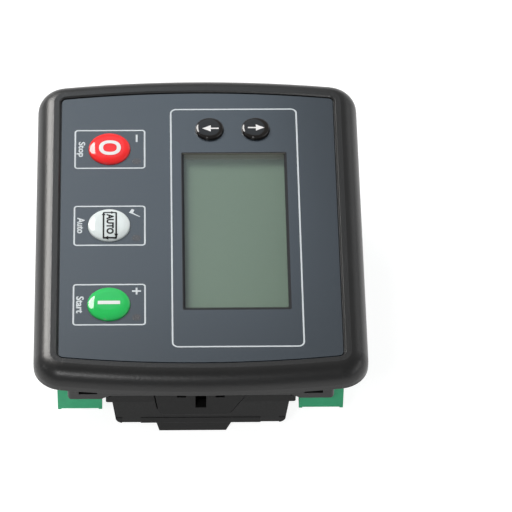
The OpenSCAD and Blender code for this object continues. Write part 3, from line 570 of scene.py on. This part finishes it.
# Dark line printed round the display, on the film outside its opening and on the clear pane inside it: its
# widths at each side. On the film it is a little wider at the near and upper sides
OPENING, OPENING_CORNER, LINE_CORNER = (70.0, 35.1), 0.3, 0.5
LINE_FAR, LINE_NEAR, LINE_LOWER, LINE_UPPER = 0.4, 0.45, 0.4, 0.5
PANE_FAR, PANE_NEAR, PANE_LOWER, PANE_UPPER = 0.1, 0.85, 0.5, 0.45
display_middle = centre_of("display_window")
opening_loop = rounded_loop(*OPENING, OPENING_CORNER, SMALL_TURN)
outer_loop = rounded_loop(OPENING[0] + LINE_FAR + LINE_NEAR, OPENING[1] + LINE_LOWER + LINE_UPPER,
                          LINE_CORNER, SMALL_TURN)
outer_loop += [(LINE_NEAR - LINE_FAR) / 2, (LINE_UPPER - LINE_LOWER) / 2]
pane_loop = rounded_loop(OPENING[0] - PANE_FAR - PANE_NEAR, OPENING[1] - PANE_LOWER - PANE_UPPER,
                         OPENING_CORNER, SMALL_TURN)
pane_loop += [(PANE_FAR - PANE_NEAR) / 2, (PANE_LOWER - PANE_UPPER) / 2]
for name, inner, outer, height in (("display_line", opening_loop, outer_loop, FACE_Z),
                                   ("display_border", pane_loop, opening_loop, PANE_Z)):
    print_flat(name, joined([(inked_border(inner, outer), display_middle)]), border_ink, height)

# Painted light on the far side of the opening: a pale strip over the film's cut edge, and one over the wall
# between the pane and the display under it, both paler than the printed face, so that this side shows as a lit
# grey step. They stand out of the wall by the width of the strip, and end under the ink
STRIP = 0.05
far, half = -OPENING[0] / 2, OPENING[1] / 2
far_strip = box_loop(far, -half, far + STRIP, half)
# Painted light: pale strips on the far wall only, standing in for the light that this wall catches
for name, low, high in (("film_edge_painted_light", PANE_Z, FACE_Z), ("pocket_wall_painted_light", CELL_Z, PANE_Z)):
    wall = inked_patch(far_strip, 0, (high - low) / MM - INK)
    print_flat(name, joined([(wall, display_middle)]), far_wall_light_paint, low)

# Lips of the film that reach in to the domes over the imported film's holes: the gap round a packed key, the
# gap left round its dome, and how far a lip lies on the film
HOLE_GAP, LIP_GAP, LIP_LAP = 0.3, 0.12, 0.15
lips = []
for key in KEY_DOMES:
    node = key + "_button"
    inner = 2 * (key_radius(node) + LIP_GAP)
    outer = 2 * (key_radius(node) + DOME_TRIM + HOLE_GAP + LIP_LAP)
    lips.append((inked_border(oval_loop(inner, inner), oval_loop(outer, outer)), centre_of(node)))
print_flat("film_lips", joined(lips), finishes["film_slate"], FACE_Z)


# Floor, light and camera

# Side of the floor and distance of the far lamps, in metres
FLOOR_SIDE, LAMP_DISTANCE = 8.0, 3.0
# Width of the camera's sensor in millimetres, and the range that it sees in metres
SENSOR, NEAREST, FARTHEST = 36, 0.05, 50
# Light of the lamps that have no tint, and of the floor
WHITE = "#ffffff"


def floor_material():
    """Matt white paper: it takes the shadow, and shows white to the camera and in reflections."""
    material, tree, place, output = start_material("white_paper_floor")
    fibre = add(tree, "ShaderNodeTexNoise", {"Vector": place, "Scale": 1 / (FIBRE_MM * MM), "Detail": 2.0})
    tone = add(tree, "ShaderNodeValToRGB", {"Fac": fibre.outputs["Fac"]})
    tone.color_ramp.elements[0].color = linear("#efefef")
    tone.color_ramp.elements[1].color = linear("#f4f4f4")
    paper = add(tree, "ShaderNodeBsdfDiffuse", {"Color": tone.outputs["Color"]})
    faint = add(tree, "ShaderNodeBsdfDiffuse", {"Color": linear("#949494")})
    glow = add(tree, "ShaderNodeEmission", {"Color": linear(WHITE), "Strength": 0.9})
    both = add(tree, "ShaderNodeAddShader")
    tree.links.new(faint.outputs["BSDF"], both.inputs[0])
    tree.links.new(glow.outputs["Emission"], both.inputs[1])
    ray = add(tree, "ShaderNodeLightPath")
    seen = add(tree, "ShaderNodeMath", {0: ray.outputs["Is Camera Ray"], 1: ray.outputs["Is Glossy Ray"]},
               operation="MAXIMUM")
    shown = add(tree, "ShaderNodeMath", {0: seen.outputs[0], 1: ray.outputs["Is Transmission Ray"]},
                operation="MAXIMUM")
    mix = add(tree, "ShaderNodeMixShader", {"Fac": shown.outputs[0]})
    tree.links.new(paper.outputs["BSDF"], mix.inputs[1])
    tree.links.new(both.outputs["Shader"], mix.inputs[2])
    tree.links.new(mix.outputs["Shader"], output.inputs["Surface"])
    return material


def add_floor():
    """A flat square sheet, centred under the part."""
    half = FLOOR_SIDE / 2
    corners = [(x, y, 0) for x, y in box_loop(-half, -half, half, half)]
    mesh = bpy.data.meshes.new("floor")
    mesh.from_pydata(corners, [], [(0, 1, 2, 3)])
    mesh.materials.append(floor_material())
    floor = bpy.data.objects.new("floor", mesh)
    bpy.context.scene.collection.objects.link(floor)


def soft_lamp(name, place, size, brightness, shape, tint):
    """A flat lamp at a place in metres, turned to the middle of the face. Its brightness is what a mirror
    shows of it: the power over pi and its area."""
    lamp = bpy.data.lights.new(name, "AREA")
    lamp.shape = shape
    lamp.size, lamp.size_y = size
    area = size[0] * size[1] * (math.pi / 4 if shape == "ELLIPSE" else 1)
    lamp.energy = brightness * math.pi * area
    lamp.color = linear(tint)[:3]
    holder = bpy.data.objects.new(name, lamp)
    holder.location = place
    holder.rotation_euler = (Vector(place) - Vector((0, 0, FACE_Z))).to_track_quat("Z", "Y").to_euler()
    bpy.context.scene.collection.objects.link(holder)


def far_lamp(name, azimuth, elevation, width, height, brightness, tint=WHITE):
    """An oval lamp far off: azimuth from the +X axis towards +Y, elevation over the floor, and the width and
    height that it takes up seen from the part, in degrees."""
    a, e = math.radians(azimuth), math.radians(elevation)
    away = Vector((math.cos(a) * math.cos(e), math.sin(a) * math.cos(e), math.sin(e)))
    size = [2 * LAMP_DISTANCE * math.tan(math.radians(angle / 2)) for angle in (width, height)]
    soft_lamp(name, away * LAMP_DISTANCE + Vector((0, 0, FACE_Z)), size, brightness, "ELLIPSE", tint)


def room_light(horizon, zenith):
    """A pale room, brighter at the horizon than overhead: its strength falls evenly with the ray's rise."""
    world = bpy.data.worlds.new("pale_room")
    world.use_nodes = True
    tree = world.node_tree
    way = add(tree, "ShaderNodeTexCoord").outputs["Generated"]
    rise = add(tree, "ShaderNodeSeparateXYZ", {"Vector": way}).outputs["Z"]
    strength = add(tree, "ShaderNodeMapRange", {"Value": rise, "To Min": horizon, "To Max": zenith})
    tree.nodes["Background"].inputs["Color"].default_value = linear("#f6f8fa")
    tree.links.new(strength.outputs["Result"], tree.nodes["Background"].inputs["Strength"])
    bpy.context.scene.world = world


def add_camera(azimuth, elevation, roll, lens, distance, target):
    """A long lens that looks down at the near end. Azimuth 0 looks along +Y and 90 along -X, and roll turns
    the frame about the line of sight, in degrees; lens, distance and target are in millimetres."""
    a, e, t = (math.radians(angle) for angle in (azimuth, elevation, roll))
    back = Vector((math.sin(a) * math.cos(e), -math.cos(a) * math.cos(e), math.sin(e)))
    right = (-back).cross(Vector((0, 0, 1))).normalized()
    up = right.cross(-back)
    turned_right = right * math.cos(t) + up * math.sin(t)
    turned_up = up * math.cos(t) - right * math.sin(t)
    place = Vector(target) * MM + back * distance * MM
    lens_data = bpy.data.cameras.new("camera")
    lens_data.lens = lens
    lens_data.sensor_width = SENSOR
    lens_data.clip_start, lens_data.clip_end = NEAREST, FARTHEST
    camera = bpy.data.objects.new("camera", lens_data)
    camera.matrix_world = Matrix((
        (turned_right.x, turned_up.x, back.x, place.x), (turned_right.y, turned_up.y, back.y, place.y),
        (turned_right.z, turned_up.z, back.z, place.z), (0, 0, 0, 1)))
    bpy.context.scene.collection.objects.link(camera)
    bpy.context.scene.camera = camera


add_floor()
# A round softbox behind the part and to its lower side, which shows in the keys and along the lower rim
far_lamp("key_softbox", azimuth=215, elevation=39, width=28, height=28, brightness=16.5, tint="#fffcf8")
# A small fill in front, which shows along the near rim
far_lamp("front_fill", azimuth=-22, elevation=46, width=12, height=12, brightness=22)
# A small strip at the lower side and a low wide reflector at the upper side, for the sides of the part
far_lamp("side_strip", azimuth=-86, elevation=28, width=6, height=9, brightness=5)
far_lamp("low_reflector", azimuth=80, elevation=20, width=56, height=15, brightness=2.2)
# A dim wide sheet behind the upper side, which shows as a soft band along that rim
far_lamp("upper_sheet", azimuth=137, elevation=20, width=26, height=22, brightness=0.9)
# A dim panel close behind, which the flat face mirrors as far as the panel's edge
soft_lamp("back_panel", place=(-0.218, -0.058, 0.249), size=(0.2, 0.165), brightness=0.72, shape="RECTANGLE",
          tint="#d4ebff")
room_light(horizon=0.48, zenith=0.2)
add_camera(azimuth=87.96, elevation=48.55, roll=1.21, lens=295.3, distance=1403,
           target=(14.43, 18.8, FACE_Z / MM))
bpy.context.scene.view_settings.view_transform = "Standard"
